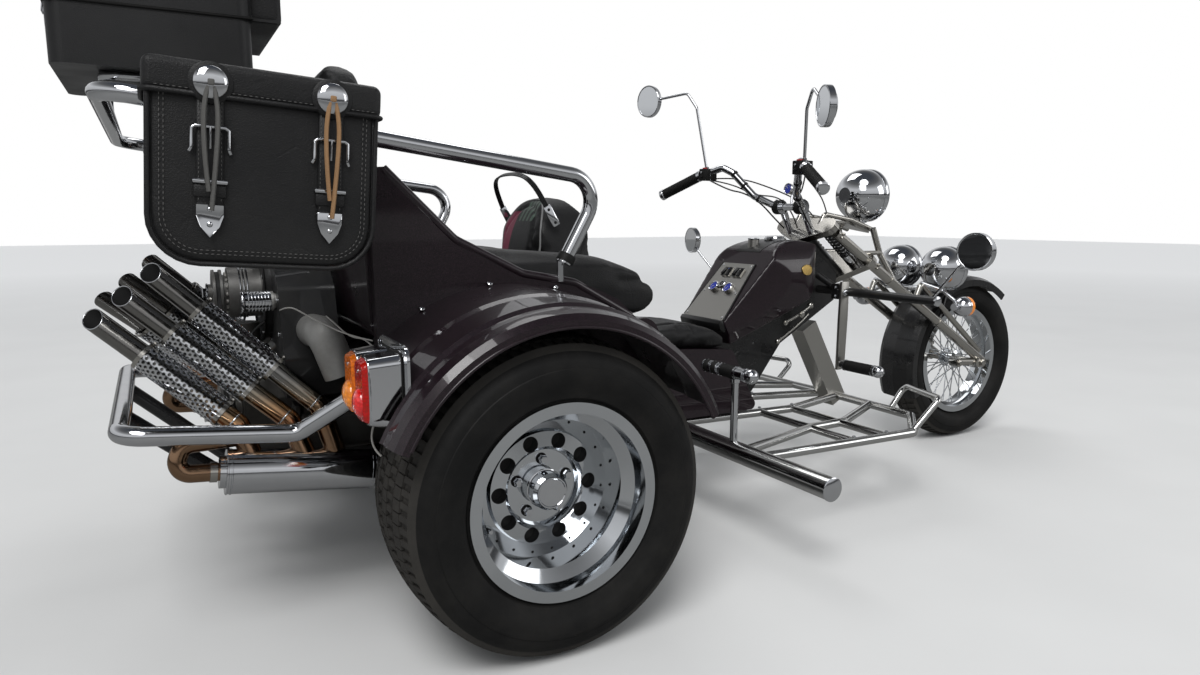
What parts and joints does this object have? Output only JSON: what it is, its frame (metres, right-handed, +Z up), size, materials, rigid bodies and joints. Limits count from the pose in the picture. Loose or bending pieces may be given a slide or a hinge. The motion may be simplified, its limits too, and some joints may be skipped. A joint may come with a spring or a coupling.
{
  "type": "chopper trike with a rear engine",
  "caption": "Three-wheeled rear-engined chopper: long raked springer fork, two wide rear wheels, bench behind the rider, open engine, top case and saddlebags.",
  "frame": {"origin": "on the ground below the middle of the vehicle's length and width", "axes": "+X forward, +Y left, +Z up"},
  "size_m": [3.389, 1.67, 1.552],
  "materials": {
    "frame_black": "gloss black paint",
    "silver_paint": "silver paint",
    "body_paint": "very dark purple metallic lacquer",
    "chrome": "polished chrome",
    "steel": "brushed stainless steel",
    "leather": "black leather",
    "case_black": "black plastic",
    "engine_alloy": "cast alloy",
    "engine_black": "satin black paint",
    "tyre": "black rubber",
    "rubber": "rubber",
    "lens": "red and amber lens",
    "mirror_glass": "mirror in a chrome shell"
  },
  "bodies": {
    "chassis": {"frame": "frame_black", "front_leg": "silver_paint", "footboards": "chrome", "pillion_pegs": "chrome", "highway_bar": "frame_black", "low_mirrors": "mirror_glass", "fuel_tank": "body_paint", "tank_fittings": "steel", "seat_tub": "body_paint", "driver_seat": "leather", "seat_body": "body_paint", "rear_fenders": "body_paint", "bench_cushion": "leather", "driver_backrest": "leather", "bench_backrest": "leather", "handrail": "chrome", "top_case_tray": "case_black", "saddlebags": "leather", "bumper": "chrome", "rear_axle": "frame_black", "transaxle": "engine_alloy", "engine_case": "engine_alloy", "cylinder_banks": "engine_alloy", "fan_shroud": "engine_black", "alternator": "engine_alloy", "belt_drive": "rubber", "intake": "engine_alloy", "mufflers": "chrome", "exhaust_pipes": "chrome", "heat_shields": "chrome", "tail_lamps": "lens"},
    "wheel_rear_right": {"rim_rear_right": "chrome", "tyre_rear_right": "tyre"},
    "wheel_rear_left": {"rim_rear_left": "chrome", "tyre_rear_left": "tyre"},
    "steering": {"fork": "steel", "fork_springs": "frame_black", "handlebar": "chrome", "bar_mirrors": "mirror_glass", "headlight": "chrome", "front_lamps": "chrome", "front_fender": "body_paint"},
    "wheel_front": {"rim_front": "chrome", "tyre_front": "tyre"},
    "case_lid": {"top_case_lid": "case_black"}
  },
  "joints": [
    {"name": "rear_right_spin", "type": "hinge", "parent": "chassis", "child": "wheel_rear_right", "pos_m": [-0.8445, -0.668, 0.338], "axis": [0, 1, 0], "continuous": true},
    {"name": "rear_left_spin", "type": "hinge", "parent": "chassis", "child": "wheel_rear_left", "pos_m": [-0.8445, 0.668, 0.338], "axis": [0, 1, 0], "continuous": true},
    {"name": "steering_turn", "type": "hinge", "parent": "chassis", "child": "steering", "pos_m": [0.5155, 0, 0.84], "axis": [-0.766, 0, 0.6428], "range_deg": [-25, 25]},
    {"name": "front_spin", "type": "hinge", "parent": "steering", "child": "wheel_front", "pos_m": [1.3695, 0, 0.325], "axis": [0, 1, 0], "continuous": true},
    {"name": "lid_hinge", "type": "hinge", "parent": "chassis", "child": "case_lid", "pos_m": [-1.3185, 0, 1.3263], "axis": [0, 1, 0], "range_deg": [0, 70]}
  ]
}
